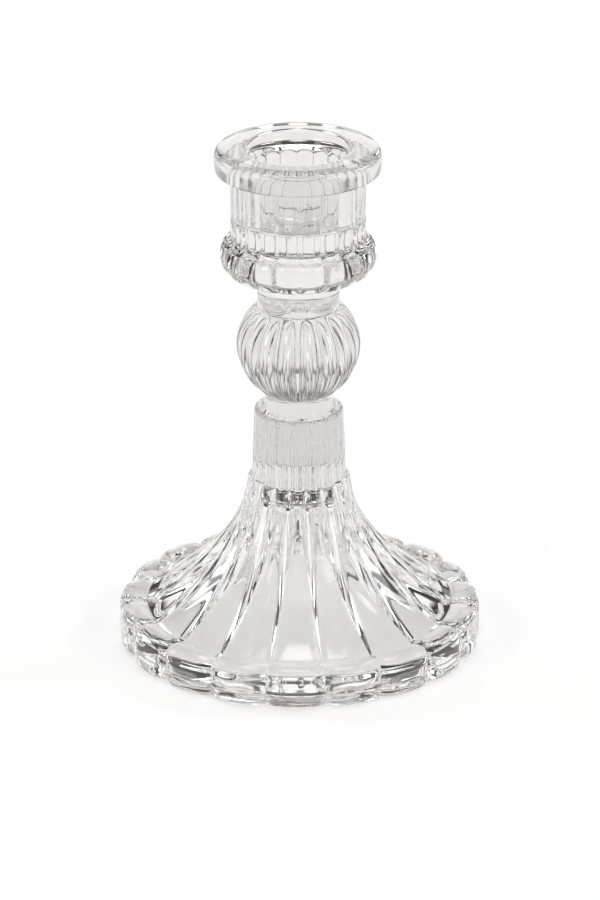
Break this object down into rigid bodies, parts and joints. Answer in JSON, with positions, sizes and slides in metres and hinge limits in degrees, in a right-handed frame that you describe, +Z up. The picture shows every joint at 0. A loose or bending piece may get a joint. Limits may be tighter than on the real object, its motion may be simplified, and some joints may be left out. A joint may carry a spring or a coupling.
{
  "type": "glass candlestick",
  "caption": "Clear glass candlestick with a flared, scalloped foot, ribbed collar, ribbed ball and a ribbed cup whose rolled rim opens into a round candle socket.",
  "frame": {"origin": "on the table under the middle of the foot", "axes": "+Z up the candlestick's axis, -Y towards the front, where one foot lobe faces almost square"},
  "size_m": [0.0915, 0.0914, 0.1305],
  "materials": {
    "clear_glass": "polished clear pressed glass"
  },
  "bodies": {
    "root": {"candle_cup": "clear_glass", "upper_wafer": "clear_glass", "ball_knop": "clear_glass", "lower_wafer": "clear_glass", "fluted_collar": "clear_glass", "flared_foot": "clear_glass"}
  },
  "joints": []
}
